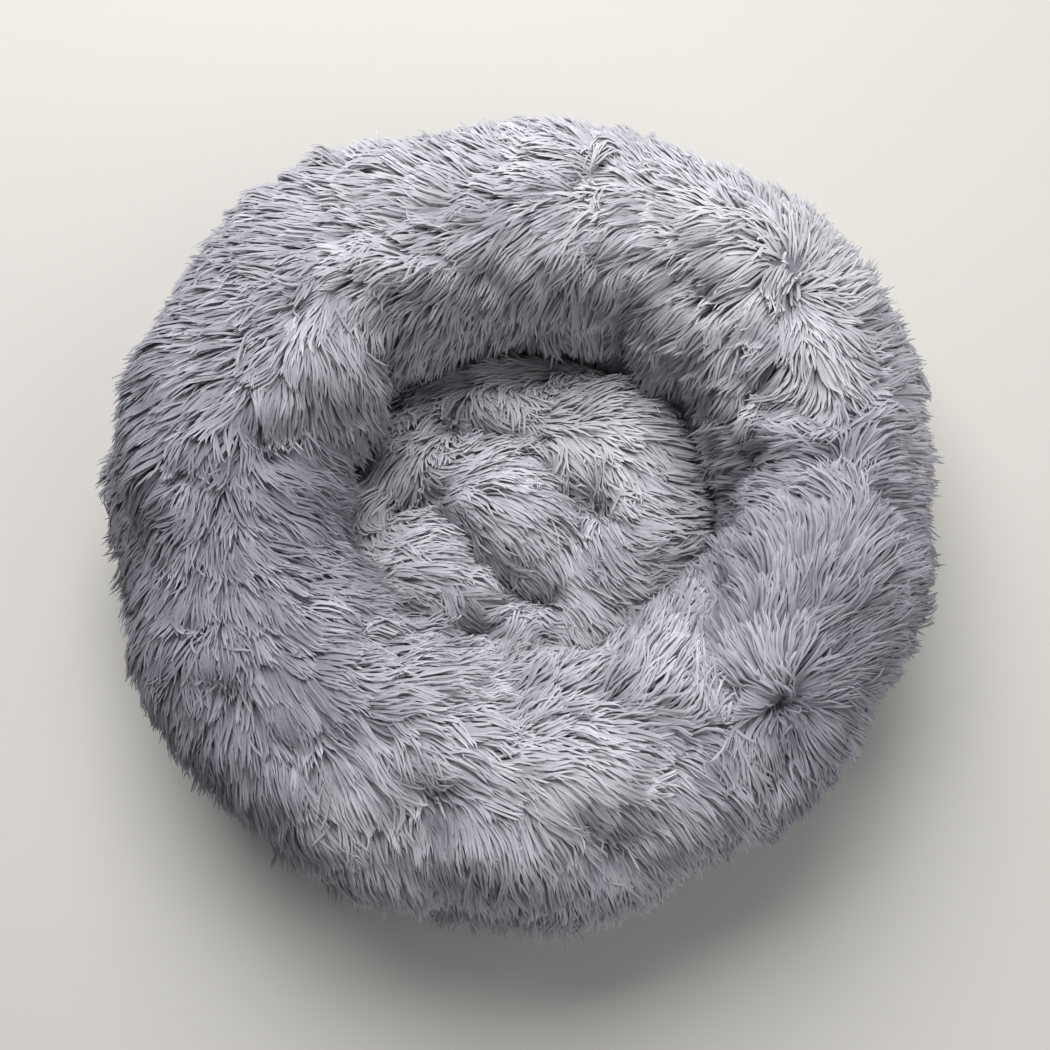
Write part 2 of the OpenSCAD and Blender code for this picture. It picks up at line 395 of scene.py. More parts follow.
def lean_of(v):
    """Lean of the section, in degrees, at each v: the arc over the crest takes most of it."""
    return np.interp(v, (0, SEAM_END, SKIRT_START, 1), (-90, -90, SKIRT_LEAN, SKIRT_LEAN))


def bolster_sheet(inset):
    """The bolster's backing, this far under the pile tips. v runs from the inner seam to the base."""
    u = np.arange(ROUND_STEPS)[:, None] / ROUND_STEPS
    v = np.linspace(0, 1, SECTION_STEPS)[None, :]
    azimuth = u * 360 + 0 * v
    lean = lean_of(v) + 0 * u
    outer = OUTER_R + bulge(azimuth, OUTER_BULGES) - inset
    inner = NEST_R - bulge(azimuth, INNER_BULGES) + inset
    crest = CREST_Z + bulge(azimuth, CREST_BULGES) - inset
    middle = (outer + inner) / 2
    half = (outer - inner) / 2
    up = np.cos(np.radians(lean))
    radius = middle + half * np.sin(np.radians(lean))
    height = MIDDLE_Z + np.where(up > 0, (crest - MIDDLE_Z) * up, (TUBE_R - inset) * up)
    # The ends run straight to the inner seam and to the base
    seam = np.clip(1 - v / SEAM_END, 0, 1)
    radius = radius + (SEAM_R + 0.002 - radius) * seam ** 1.5
    height = height + (SEAM_Z - 0.002 - height) * seam
    skirt = np.clip((v - SKIRT_START) / (1 - SKIRT_START), 0, 1)
    radius = radius + (BASE_R - 0.012 - radius) * (1 - (1 - skirt) ** 2)
    height = height + (FLOOR_Z + 0.001 - height) * skirt
    lumps = 0.0058 * soft_noise(u, v, (14, 5, 18), 11) + 0.002 * soft_noise(u, v, (40, 14, 24), 12)
    # Mask of painted shade, which also lowers the pile: low lumps, the foot of the nest wall and the hollows
    hollow = 0.55 * np.clip(-lumps / 0.006, 0, 1) + np.clip((0.13 - v) / 0.05, 0, 1)
    for spot, tilt, size, depth in HOLLOWS:
        reach = middle + half * math.sin(math.radians(tilt))
        along = np.radians((azimuth - spot + 180) % 360 - 180) * reach
        across = np.radians(lean - tilt) * TUBE_R * 0.85
        near = np.exp(-(along ** 2 + across ** 2) / size ** 2)
        lumps = lumps - HOLLOW_SHARE * depth * near
        hollow += max(depth, 0) / 0.014 * near
    fade = np.clip(np.minimum(v / 0.1, (1 - v) / 0.2), 0, 1)
    lumps = lumps * fade
    radius = radius + lumps * np.sin(np.radians(lean))
    height = height + lumps * up
    turn = np.radians(azimuth)
    return Sheet(np.stack([radius * np.cos(turn), radius * np.sin(turn), height], axis=2), True, hollow)


def pad_height(x, y, inset):
    """Height of the pad's backing: a dome with lobes, parted by folds."""
    rim = PAD_TOP - PAD_RISE
    away = np.clip(np.hypot(x, y) / SEAM_R, 0, 1)
    height = rim + (PAD_TOP - rim) * (1 - away ** 2) - inset
    height = height + 0.0025 * soft_noise(x / 0.3, y / 0.3, (5, 5, 16), 21)
    for lobe_x, lobe_y, radius, rise in PAD_LOBES:
        gap = np.hypot(x - lobe_x * MM, y - lobe_y * MM) / (radius * MM)
        height = height + rise * MM * np.exp(-gap ** 2)
    return height - FOLD_DEPTH * fold_depth(x, y)


def fold_depth(x, y):
    """How far each place lies in a fold of the pad or under the bolster, from 0 to 1."""
    deepest = np.clip((np.hypot(x, y) - RIM_R) / RIM_FALL, 0, 1)
    for start, end in PAD_FOLDS:
        (ax, ay), (bx, by) = np.array(start) * MM, np.array(end) * MM
        dx, dy = bx - ax, by - ay
        along = np.clip(((x - ax) * dx + (y - ay) * dy) / (dx ** 2 + dy ** 2), 0, 1)
        gap = np.hypot(x - ax - along * dx, y - ay - along * dy)
        deepest = np.maximum(deepest, np.exp(-(gap / FOLD_REACH) ** 2))
    return deepest


def pad_sheet(inset):
    """The pad's backing as a square sheet; what lies past the seam is cut off later."""
    side = np.linspace(-1, 1, 241) * (SEAM_R + 0.002)
    x, y = np.meshgrid(side, side, indexing="ij")
    # The folds and the rim under the bolster darken the pile's tone there, as painted shade
    return Sheet(np.stack([x, y, pad_height(x, y, inset)], axis=2), False, fold_depth(x, y))


def eased(comb):
    """Comb directions of length 1, but shorter where the pile parts and stands up."""
    size = np.linalg.norm(comb, axis=2, keepdims=True)
    return comb / (size + 0.3 * np.exp(-4 * size))


def parted(comb, sheet, i, j, size, strength):
    """The comb with the pile parted from the sheet's grid point i, j."""
    away = sheet.points - sheet.points[i, j]
    gap = np.linalg.norm(away, axis=2)
    part = np.stack([(away * sheet.u_way).sum(axis=2), (away * sheet.v_way).sum(axis=2)], axis=2)
    part = part / np.maximum(np.linalg.norm(part, axis=2, keepdims=True), 1e-6)
    fade = np.exp(-(gap / size) ** 2) * (1 - np.exp(-(gap / 0.010) ** 2))
    return comb + part * (strength * fade)[..., None]


def bolster_comb(sheet):
    """Comb direction on the bolster, as parts along u and v, at each grid point."""
    places = sorted(BOLSTER_COMB)
    u = np.arange(sheet.nu) / sheet.nu * 360
    v = np.linspace(0, 1, sheet.nv)
    lean = lean_of(v)
    ways = np.radians([[BOLSTER_COMB[p][k] - p for k in range(len(COMB_LEANS))] for p in places])
    parts = []
    for part in (np.sin(ways), np.cos(ways)):
        closed = np.vstack([part, part[:1]])
        over = np.array([np.interp(lean, COMB_LEANS, row) for row in closed])
        parts.append(np.array([np.interp(u, [*places, 360], over[:, j]) for j in range(sheet.nv)]).T)
    around, outward = parts
    # The pile hangs on the lowest part of the outside and on the wall of the nest
    hang = np.clip((v - 0.78) / 0.14, 0, 1)[None, :]
    sink = np.clip((0.16 - v) / 0.10, 0, 1)[None, :]
    around = around * (1 - 0.7 * hang - 0.5 * sink)
    outward = outward * (1 - hang) * (1 - sink) + hang - sink
    comb = np.stack([around, outward], axis=2)
    for azimuth, tilt, size, strength in BOLSTER_PARTINGS:
        i = round(azimuth / 360 * sheet.nu) % sheet.nu
        comb = parted(comb, sheet, i, int(np.argmin(np.abs(lean - tilt))), size, strength)
    return eased(comb)


def pad_comb(sheet):
    """Comb direction on the pad, as parts along u and v, at each grid point."""
    x, y = sheet.points[..., 0], sheet.points[..., 1]
    total = np.zeros((*x.shape, 2))
    weights = np.full(x.shape, 1e-6)
    for px, py, way in PAD_COMB:
        weight = np.exp(-((x - px * MM) ** 2 + (y - py * MM) ** 2) / (2 * 0.015 ** 2))
        total += weight[..., None] * np.array([math.cos(math.radians(way)), math.sin(math.radians(way))])
        weights += weight
    comb = total / weights[..., None]
    for px, py, size, strength in PAD_PARTINGS:
        gap = np.hypot(x - px * MM, y - py * MM)
        i, j = np.unravel_index(np.argmin(gap), gap.shape)
        comb = parted(comb, sheet, i, j, size * MM, strength)
    return eased(comb)


def trace(sheet, comb, u, v, length, turn, bend):
    """Centre lines that follow the comb over the sheet: points, normals and the first direction of each."""
    points = np.empty((len(u), RINGS, 3))
    normals = np.empty((len(u), RINGS, 3))
    u, v = u.copy(), v.copy()
    first = None
    for k in range(RINGS):
        points[:, k] = sheet.at(sheet.points, u, v)
        normals[:, k] = sheet.at(sheet.normals, u, v)
        way = sheet.at(comb, u, v)
        angle = turn + bend * STEPS[k]
        cos, sin = np.cos(angle), np.sin(angle)
        cu = way[:, 0] * cos - way[:, 1] * sin
        cv = way[:, 0] * sin + way[:, 1] * cos
        if first is None:
            first = cu[:, None] * sheet.at(sheet.u_way, u, v) + cv[:, None] * sheet.at(sheet.v_way, u, v)
        step = length * (STEPS[min(k + 1, RINGS - 1)] - STEPS[k])
        u = u + cu * step / sheet.at(sheet.u_size, u, v)
        v = v + cv * step / sheet.at(sheet.v_size, u, v)
        if not sheet.closed:
            u = np.clip(u, 0, 1)
        v = np.clip(v, 0, 1)
    normals /= np.linalg.norm(normals, axis=2, keepdims=True)
    return points, normals, first


def nearest(spots, points):
    """Index of the spot that lies nearest to each point."""
    tree = KDTree(len(spots))
    for i, spot in enumerate(spots):
        tree.insert(spot, i)
    tree.balance()
    return np.array([tree.find(point)[1] for point in points])


def stiffened(lines, normals, first, length, lean, share):
    """Locks bent by their share towards the straight, drooping line that a stiff lock would take."""
    lean = np.radians(lean)[:, None, None]
    reach = (length[:, None] * STEPS)[..., None]
    straight = lines[:, :1] + reach * (first[:, None] * np.cos(lean) + normals[:, :1] * np.sin(lean))
    straight[..., 2] -= DROOP * length[:, None] * STEPS ** 2
    share = share[:, None] * STEPS
    return lines * (1 - share[..., None]) + straight * share[..., None]


def crimped(lines, normals, first, length, crimp, rng):
    """Locks with a fine wave, sideways and a little less up and down."""
    count = len(lines)
    side = np.cross(first, normals[:, 0])
    side /= np.linalg.norm(side, axis=1, keepdims=True)
    phase = rng.random(count)[:, None]
    waves = (length / rng.uniform(0.016, 0.030, count))[:, None]
    size = (rng.uniform(0.2, 1.0, count) * crimp)[:, None]
    turn = 2 * math.pi * (waves * STEPS + phase)
    lines = lines + side[:, None] * (size * STEPS * np.sin(turn))[..., None]
    return lines + normals * (0.6 * size * STEPS * np.cos(turn))[..., None]


def patches(sheet, u, v):
    """Change of tone over the plush: a soft mottle, with painted light and shade round the bolster and a
    painted pale patch on the pad.
    """
    mottle = 0.10 * soft_noise(u, v, (9, 4, 14), 35)
    if sheet.closed:
        # Painted light and shade round the bolster
        return mottle + bulge(u * 360, PAINTED_LIGHT_AND_SHADE)
    # Painted light: the pile on the rear right of the pad is made paler
    return mottle + 0.42 * np.exp(-((u - 0.70) ** 2 + (v - 0.82) ** 2) / 0.05)


def grow(sheet, comb, count, rng, pile, keep=None):
    """Locks of pile on a sheet: centre lines, normals, tones, and widths as a share of the usual."""
    u, v = sheet.scatter(count, rng)
    if keep is not None:
        kept = keep(sheet.at(sheet.points, u, v))
        u, v = u[kept], v[kept]
    count = len(u)
    # Tufts: locks that grew from one spot share a way, a height and a tone, and close up towards the tip
    tufts = max(count // TUFT_LOCKS, 8)
    tu, tv = sheet.scatter(tufts, rng)
    mess = np.clip(0.7 + 0.7 * soft_noise(tu, tv, (18, 6, 12), 31), 0.3, 1.8)
    tuft_turn = rng.normal(0, TUFT_TURN, tufts) * mess
    tuft_curl = rng.normal(0, TUFT_CURL, tufts) * mess
    tuft_length = pile.length * rng.uniform(0.82, 1.12, tufts)
    tuft_points = trace(sheet, comb, tu, tv, tuft_length, tuft_turn, tuft_curl)[0]
    own = nearest(tuft_points[:, 0], sheet.at(sheet.points, u, v))
    length = tuft_length[own] * rng.uniform(0.78, 1.12, count)
    # Where the comb is short the pile stands up and points every way
    upright = np.clip(1 - np.linalg.norm(sheet.at(comb, u, v), axis=1), 0, 1)
    stray = rng.random(count) < STRAY_SHARE
    turn = rng.normal(0, 1.3, count) * upright + TUFT_HOLD * tuft_turn[own]
    turn = turn + rng.normal(0, LOCK_TURN, count) * mess[own] * np.where(stray, 4, 1)
    curl = TUFT_HOLD * tuft_curl[own] + rng.normal(0, LOCK_CURL, count) * mess[own] * np.where(stray, 3, 1)
    points, normals, first = trace(sheet, comb, u, v, length, turn, curl)
    # Some locks stay low and spread, and fill the gaps between the tufts
    low = rng.random(count) < LOW_SHARE
    closing = rng.uniform(0.35, 0.92, count) * np.where(low, LOW_GATHER, 1)
    gather = (tuft_points[own, -1] - points[:, -1]) * closing[:, None]
    points = points + gather[:, None] * (STEPS ** 1.7)[:, None]
    # Height over the backing: the tips lie uppermost, and some locks stay under the others
    lift = rng.uniform(0.5, 1.12, tufts)[own] + rng.normal(0, 0.12, count)
    lift = np.where(low, lift * 0.6, lift) + 0.15 * stray
    # How far each lock is sunk in a hollow or fold: it lies lower, and is darkened as painted shade
    sunk_and_shaded = sheet.at(sheet.hollow, u, v)
    rise = pile.depth * np.clip(lift, 0.15, 1.3) * (1 - 0.55 * sunk_and_shaded) + 0.2 * upright * length
    laid = points + normals * (rise[:, None] * (1 - (1 - STEPS) ** 1.5))[..., None]
    lean = rng.uniform(*STIFF_LEAN, count)
    share = rng.uniform(0.05, 0.6, tufts)[own] + rng.uniform(0, 0.12, count)
    if sheet.closed:
        # Over the nest and at the widest point outside, the tips stand free of the backing
        share = share + (0.32 * np.exp(-((v - 0.2) / 0.1) ** 2) + 0.25 * np.exp(-((v - 0.76) / 0.1) ** 2))
    lines = stiffened(laid, normals, first, length, lean, share)
    lines = crimped(lines, normals, first, length, pile.crimp, rng)
    lines[..., 2] = np.maximum(lines[..., 2], PILE_FLOOR)
    # Tone: random over tufts and locks, with painted light and shade round the bed and painted shade in
    # hollows and folds
    tone = 0.5 + (patches(sheet, tu, tv) + rng.normal(0, 0.07, tufts))[own]
    tone = tone + rng.normal(0, 0.06, count) - 0.35 * sunk_and_shaded
    return lines, normals, np.clip(tone, 0.03, 0.93), np.where(low, LOW_WIDTH, 1.0)


def lock_mesh(name, lines, normals, width, tone):
    """Closed three-sided locks along their centre lines. The map OFBake holds the tone and the way along."""
    count = len(lines)
    tangent = np.gradient(lines, axis=1)
    tangent /= np.linalg.norm(tangent, axis=2, keepdims=True)
    side = np.cross(tangent, normals)
    side /= np.maximum(np.linalg.norm(side, axis=2, keepdims=True), 1e-9)
    up = np.cross(side, tangent)
    radius = (width / 2)[:, None] * TAPER[None, :]
    offset = (side[:, :, None] * np.cos(CORNERS)[None, None, :, None]
              + up[:, :, None] * LOCK_FLATNESS * np.sin(CORNERS)[None, None, :, None])
    ring = lines[:, :, None] + offset * radius[:, :, None, None]
    verts = np.concatenate([ring[:, :-1].reshape(count, -1, 3), lines[:, -1:]], axis=1)
    # The faces of one lock: its root, three sides of quads, and three triangles that close the tip
    tip = 3 * (RINGS - 1)
    loops, totals = [0, 1, 2], [3]
    places = [(0, SIDE_STEP), (SIDE_STEP, SIDE_STEP), (SIDE_STEP / 2, 4 * SIDE_STEP)]
    along = 0.02 + 0.96 * STEPS
    for k in range(RINGS - 1):
        for c in range(3):
            start, left, right = 3 * k + c, SIDE_STEP * c, SIDE_STEP * c + SIDE_STEP
            across = 3 * k + (c + 1) % 3
            places += [(right, along[k]), (left, along[k])]
            if k < RINGS - 2:
                loops += [across, start, start + 3, across + 3]
                places += [(left, along[k + 1]), (right, along[k + 1])]
                totals.append(4)
            else:
                loops += [across, start, tip]
                places.append((left + SIDE_STEP / 2, along[k + 1]))
                totals.append(3)
    loops, totals, places = np.array(loops), np.array(totals), np.array(places)
    starts = np.concatenate([[0], np.cumsum(totals)[:-1]])
    each = np.arange(count)[:, None]
    mesh = bpy.data.meshes.new(name)
    mesh.vertices.add(count * (tip + 1))
    mesh.vertices.foreach_set("co", verts.astype(np.float32).ravel())
    mesh.loops.add(count * len(loops))
    mesh.loops.foreach_set("vertex_index", (loops + (tip + 1) * each).astype(np.int32).ravel())
    mesh.polygons.add(count * len(totals))
    mesh.polygons.foreach_set("loop_start", (starts + len(loops) * each).astype(np.int32).ravel())
    spots = np.repeat(places[None], count, axis=0)
    spots[..., 0] += tone[:, None]
    mesh.uv_layers.new(name="OFBake").data.foreach_set("uv", spots.astype(np.float32).ravel())
    mesh.update()
    mesh.polygons.foreach_set("use_smooth", np.ones(count * len(totals), bool))
    outward = offset / np.linalg.norm(offset, axis=3, keepdims=True)
    shade = outward * (1 - PILE_SHADE) + normals[:, :, None] * PILE_SHADE
    shade = np.concatenate([shade[:, :-1].reshape(count, -1, 3), normals[:, -1:]], axis=1)
    shade /= np.linalg.norm(shade, axis=2, keepdims=True)
    mesh.normals_split_custom_set_from_vertices(shade.reshape(-1, 3).tolist())
    return mesh


def polyester_pile(colours):
    """Long faux-fur pile of crimped polyester: darker at the root, pale at the tip, with a silky gloss."""
    material, tree, shader = new_material("polyester_pile", Roughness=0.68, Specular_IOR_Level=0.18)
    shader.inputs["Sheen Weight"].default_value = 0.15
    shader.inputs["Sheen Roughness"].default_value = 0.45
    shader.inputs["Sheen Tint"].default_value = hex_color("#e4e4ee")
    spot = add_node(tree, "ShaderNodeUVMap", uv_map="OFBake")
    parts = add_node(tree, "ShaderNodeSeparateXYZ", {0: spot.outputs["UV"]})
    along = add_node(tree, "ShaderNodeValToRGB", {0: parts.outputs["Y"]},
                     stops=[(0.0, colours.pile_root), (0.3, colours.pile_low), (0.7, colours.pile_high),
                            (1.0, colours.pile_tip)])
    # The tone map carries random differences between locks, and painted light and shade
    tone = add_node(tree, "ShaderNodeValToRGB", {0: parts.outputs["X"]},
                    stops=[(0.0, "#acacb3"), (0.5, "#eaeaed"), (1.0, "#ffffff")])
    # Fine fibres run along each lock
    stretch = add_node(tree, "ShaderNodeMapping", {"Vector": spot.outputs["UV"], "Scale": (900.0, 4.0, 1.0)})
    fibres = add_node(tree, "ShaderNodeTexNoise",
                      {"Vector": stretch.outputs["Vector"], "Scale": 1.0, "Detail": 2.0})
    streak = add_node(tree, "ShaderNodeValToRGB", {0: fibres.outputs["Fac"]},
                      stops=[(0.3, "#d2d2d6"), (0.62, "#ffffff")])
    color = along.outputs["Color"]
    for layer in (tone, streak):
        mix = add_node(tree, "ShaderNodeMix", data_type="RGBA", blend_type="MULTIPLY")
        mix.inputs["Factor"].default_value = 1.0
        tree.links.new(color, mix.inputs["A"])
        tree.links.new(layer.outputs["Color"], mix.inputs["B"])
        color = mix.outputs["Result"]
    tree.links.new(color, shader.inputs["Base Color"])
    return material


def bumped(material, shader, height, distance, strength=0.6):
    """Give a material the bump of a height socket."""
    tree = material.node_tree
    bump = add_node(tree, "ShaderNodeBump", {"Height": height, "Distance": distance, "Strength": strength})
    tree.links.new(bump.outputs["Normal"], shader.inputs["Normal"])


def texture(tree, kind, scale, inputs=None, **settings):
    """A texture of this scale over the piece's own space."""
    where = add_node(tree, "ShaderNodeTexCoord").outputs["Object"]
    return add_node(tree, kind, {"Vector": where, "Scale": scale, **(inputs or {})}, **settings)


def clouded(tree, shader, color, scale, change):
    """A base colour with soft lighter and darker patches, so that it isn't one flat colour."""
    cloud = texture(tree, "ShaderNodeTexNoise", scale, {"Detail": 4.0})
    dark = (*[c * (1 - change) for c in color[:3]], 1)
    light = (*[min(c * (1 + change), 1) for c in color[:3]], 1)
    ramp = add_node(tree, "ShaderNodeValToRGB", {0: cloud.outputs["Fac"]}, stops=[(0.3, dark), (0.7, light)])
    tree.links.new(ramp.outputs["Color"], shader.inputs["Base Color"])


def weave(tree, pitch, ways="XY"):
    """Height of a weave whose two sets of threads lie this far apart, in metres."""
    # A wave texture of scale 1 repeats every 2 pi / 20 of its space
    scale = 2 * math.pi / 20 / pitch
    sets = [texture(tree, "ShaderNodeTexWave", scale, bands_direction=way).outputs["Fac"] for way in ways]
    return add_node(tree, "ShaderNodeMath", {0: sets[0], 1: sets[1]}, operation="MAXIMUM").outputs[0]


def knitted_backing(colours):
    """Brushed warp-knit backing under the pile: dark grey and matt, with rows of loops 1.2 mm apart."""
    material, tree, shader = new_material("knitted_backing", Roughness=0.9)
    clouded(tree, shader, colours.backing, 60, 0.12)
    bumped(material, shader, weave(tree, 0.0012), 0.0003)
    return material


def nonwoven_cloth():
    """Spunbond nonwoven of the inner bags: white and matt, with pressed points 1.4 mm apart."""
    material, tree, shader = new_material("nonwoven_cloth", Roughness=0.85)
    clouded(tree, shader, hex_color("#e4e4e4"), 120, 0.06)
    points = texture(tree, "ShaderNodeTexVoronoi", 700.0)
    bumped(material, shader, points.outputs["Distance"], 0.0001)
    return material


def polyester_fibre():
    """Loose hollow polyester fibre: bright white and cloudy."""
    material, tree, shader = new_material("polyester_fibre", Roughness=0.95)
    clouded(tree, shader, hex_color("#f0f0ee"), 60, 0.05)
    cloud = texture(tree, "ShaderNodeTexNoise", 90.0, {"Detail": 6.0})
    bumped(material, shader, cloud.outputs["Fac"], 0.003)
    return material


def woven_tape(name, colours, ways):
    """Woven polyester tape: ribs 1 mm apart, so that they show, and a dull sheen."""
    material, tree, shader = new_material(name, Roughness=0.7)
    shader.inputs["Sheen Weight"].default_value = 0.2
    clouded(tree, shader, colours.tape, 90, 0.1)
    bumped(material, shader, weave(tree, 0.001, ways), 0.0003)
    return material


def oxford_cloth(colours):
    """PU-coated Oxford cloth: a coarse plain weave of 0.9 mm pairs of threads with a low, even gloss."""
    material, tree, shader = new_material("oxford_cloth", Roughness=0.55)
    clouded(tree, shader, colours.base, 25, 0.12)
    bumped(material, shader, weave(tree, 0.0009), 0.0003)
    return material


def lining_cloth(colours):
    """Thin plain-weave polyester lining: pale and smooth."""
    material, tree, shader = new_material("lining_cloth", Roughness=0.6)
    clouded(tree, shader, colours.wall, 40, 0.06)
    bumped(material, shader, weave(tree, 0.0006, "XZ"), 0.0001)
    return material


def moulded_pvc(colours):
    """Soft PVC printed on in dots: rubbery, with a slight orange-peel."""
    material, tree, shader = new_material("moulded_pvc", Roughness=0.42)
    clouded(tree, shader, colours.dots, 150, 0.08)
    peel = texture(tree, "ShaderNodeTexNoise", 1500.0)
    bumped(material, shader, peel.outputs["Fac"], 0.0001)
    return material


def nylon_monofilament(colours):
    """Drawn nylon of the zip's coils: smooth, slightly glossy."""
    material, tree, shader = new_material("nylon_monofilament", Roughness=0.34, IOR=1.53)
    clouded(tree, shader, colours.coil, 200, 0.1)
    return material


def plated_zinc(colours):
    """Die-cast zinc with a nickel plate: bright metal, dulled by fine scratches from handling."""
    material, tree, shader = new_material("plated_zinc", Metallic=1.0)
    clouded(tree, shader, colours.metal, 300, 0.06)
    rub = texture(tree, "ShaderNodeTexNoise", 900.0, {"Detail": 5.0})
    rough = add_node(tree, "ShaderNodeMapRange", {0: rub.outputs["Fac"], 3: 0.24, 4: 0.42})
    tree.links.new(rough.outputs[0], shader.inputs["Roughness"])
    bumped(material, shader, rub.outputs["Fac"], 0.00004)
    return material


def satin_ribbon(colours):
    """Satin-weave polyester ribbon: white, with a soft gloss along its fine cross ribs."""
    material, tree, shader = new_material("satin_ribbon", Roughness=0.38)
    shader.inputs["Sheen Weight"].default_value = 0.3
    clouded(tree, shader, colours.label, 80, 0.04)
    bumped(material, shader, weave(tree, 0.0007, "ZZ"), 0.0001)
    return material


def cover(node, material):
    """Put a material on a CAD node that stays as it is."""
    for material_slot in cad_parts[node].material_slots:
        material_slot.material = material


def smooth_mesh(name, verts, faces):
    """A smooth-shaded mesh from an array of points and a list of faces."""
    mesh = bpy.data.meshes.new(name)
    mesh.from_pydata(verts.tolist(), [], faces)
    mesh.update()
    mesh.polygons.foreach_set("use_smooth", np.ones(len(mesh.polygons), bool))
    return mesh


def quads_of(index, over):
    """Quads between each row of a grid of indices and the row over it, joined end to end."""
    ahead, over_ahead = np.roll(index, -1, 1), np.roll(over, -1, 1)
    return np.stack([index, ahead, over_ahead, over], axis=-1).reshape(-1, 4)


def shell_mesh(name, outer, inner, closed=False, flip=False):
    """Closed cloth between two matching grids of points; closed joins the ends of the first way."""
    nu, nv = outer.shape[:2]
    back = nu * nv
    index = np.arange(back).reshape(nu, nv)
    if closed:
        index = np.vstack([index, index[:1]])
    a, b, c, d = index[:-1, :-1], index[1:, :-1], index[1:, 1:], index[:-1, 1:]
    faces = [np.stack([a, b, c, d], axis=-1).reshape(-1, 4),
             np.stack([a, d, c, b], axis=-1).reshape(-1, 4) + back]
    edges = [(index[:, 0], False), (index[:, -1], True)]
    if not closed:
        edges += [(index[0, :], True), (index[-1, :], False)]
    for edge, turned in edges:
        quad = np.stack([edge[:-1], edge[:-1] + back, edge[1:] + back, edge[1:]], axis=-1)
        faces.append(quad[:, ::-1] if turned else quad)
    faces = np.concatenate(faces)
    if flip:
        faces = faces[:, ::-1]
    verts = np.concatenate([outer.reshape(-1, 3), inner.reshape(-1, 3)])
    return smooth_mesh(name, verts, faces.tolist())


def sheet_mesh(name, sheet, u_range, thickness):
    """Closed cloth shell over part of a sheet, thick towards the inside."""
    u = np.linspace(*u_range, max(int(360 * (u_range[1] - u_range[0])), 2) + 1)
    uu, vv = np.meshgrid(u, np.linspace(0, 1, 61), indexing="ij")
    outer = sheet.at(sheet.points, uu, vv)
    inner = outer - sheet.at(sheet.normals, uu, vv) * thickness
    inner[..., 2] = np.maximum(inner[..., 2], FLOOR_Z + 0.0005)
    return shell_mesh(name, outer, inner, flip=sheet.closed)


def around(radius, degrees, height):
    """Points at a radius, azimuth and height, as arrays."""
    turn = np.radians(degrees)
    return np.stack(np.broadcast_arrays(radius * np.cos(turn), radius * np.sin(turn), height), axis=-1)


def tube_mesh(name, path, radius, sides):
    """Tube with closed ends along a path of points."""
    tangent = np.gradient(path, axis=0)
    tangent /= np.linalg.norm(tangent, axis=1, keepdims=True)
    # The section's first way points out from the bed's middle
    outward = path * (1, 1, 0)
    outward /= np.linalg.norm(outward, axis=1, keepdims=True)
    side = outward - (outward * tangent).sum(axis=1, keepdims=True) * tangent
    side /= np.linalg.norm(side, axis=1, keepdims=True)
    up = np.cross(tangent, side)
    angle = np.linspace(0, 2 * math.pi, sides, endpoint=False)
    rings = path[:, None] + radius * (side[:, None] * np.cos(angle)[None, :, None]
                                      + up[:, None] * np.sin(angle)[None, :, None])
    index = np.arange(len(path) * sides).reshape(-1, sides)
    faces = quads_of(index[:-1], index[1:]).tolist() + [index[0, ::-1].tolist(), index[-1].tolist()]
    return smooth_mesh(name, rings.reshape(-1, 3), faces)


def place(name, mesh, body, material):
    """A mesh as a piece of the object on a body."""
    piece = bpy.data.objects.new(name, mesh)
    bpy.context.scene.collection.objects.link(piece)
    piece.data.materials.append(material)
    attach(piece, body)
    return piece


def core_loops(sheet):
    """Closed sections of the bolster's core: the backing's points, thinned, and a flat stretch below."""
    # The ends of the backing, at the seam and at the base, are left out
    points = sheet.points[::2, 8:-6:3].copy()
    points[..., 2] = np.maximum(points[..., 2], FLOOR_Z + 0.003)
    low = points[:, :1].copy(), points[:, -1:].copy()
    for edge in low:
        edge[..., 2] = FLOOR_Z + 0.002
    floor = [low[1] + (low[0] - low[1]) * part for part in (0, 0.25, 0.5, 0.75, 1)]
    return np.concatenate([points, *floor], axis=1)


def ring_mesh(name, loops):
    """Closed ring through sections at even turns; with two sets of sections, the second lines the first."""
    verts, faces = [], []
    for points, flip in zip(loops, (False, True)):
        nu, nv = points.shape[:2]
        index = np.arange(nu * nv).reshape(nu, nv) + sum(len(v) for v in verts)
        quads = quads_of(index, np.roll(index, -1, 0))
        faces += (quads[:, ::-1] if flip else quads).tolist()
        verts.append(points.reshape(-1, 3))
    return smooth_mesh(name, np.concatenate(verts), faces)


def dome_mesh(name, layers, sides=96, rows_over=24):
    """Closed body under the pad's backing. A layer is (inset, rim, floor); a second makes a lining."""
    verts, faces = [], []
    for k, (inset, rim, floor) in enumerate(layers):
        turn = np.linspace(0, 2 * math.pi, sides, endpoint=False)
        rows = []
        for r in np.linspace(0.04, 1, rows_over) * rim:
            x, y = r * np.cos(turn), r * np.sin(turn)
            rows.append(np.stack([x, y, np.maximum(pad_height(x, y, inset), floor + 0.004)], axis=1))
        edge = rows[-1]
        for share in (0.75, 0.5, 0.25, 0):
            row = edge.copy()
            row[:, 2] = floor + (row[:, 2] - floor) * share
            rows.append(row)
        bottom = rows[-1]
        rows += [bottom * (share, share, 1) for share in (0.6, 0.25)]
        index = np.arange(len(rows) * sides).reshape(-1, sides) + sum(len(v) for v in verts)
        a, b = index[:-1], index[1:]
        quads = np.stack([a, b, np.roll(b, -1, 1), np.roll(a, -1, 1)], axis=-1).reshape(-1, 4)
        parts = quads.tolist() + [index[0].tolist(), index[-1, ::-1].tolist()]
        faces += [part[::-1] for part in parts] if k else parts
        verts.append(np.array(rows).reshape(-1, 3))
    return smooth_mesh(name, np.concatenate(verts), faces)


